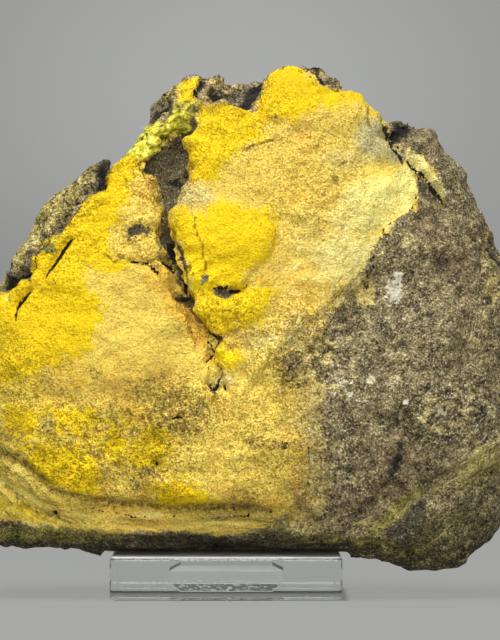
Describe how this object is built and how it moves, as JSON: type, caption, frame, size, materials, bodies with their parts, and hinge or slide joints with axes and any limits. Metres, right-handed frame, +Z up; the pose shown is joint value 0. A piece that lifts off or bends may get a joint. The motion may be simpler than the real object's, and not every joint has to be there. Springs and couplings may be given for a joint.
{
  "type": "mineral specimen on display block",
  "caption": "Uranopilite mineral specimen: a cracked yellow powdery crust over grey-brown granular rock, resting on a clear square display block.",
  "frame": {"origin": "on the surface that the block stands on, under the middle of the object's box", "axes": "+Z up, the crusted face looks towards -Y, +X to the right of someone who looks at that face"},
  "size_m": [0.1332, 0.0556, 0.118],
  "materials": {
    "matrix_rock": "matt granular grey-brown rock, dark in its cracks, olive and ochre stains",
    "uranopilite_crust": "matt powdery mineral crust, lemon yellow to pale cream, cracked at its edges",
    "clear_acrylic": "polished clear acrylic"
  },
  "bodies": {
    "root": {"matrix_rock": "matrix_rock", "uranopilite_crust": "uranopilite_crust", "acrylic_block": "clear_acrylic"}
  },
  "joints": []
}
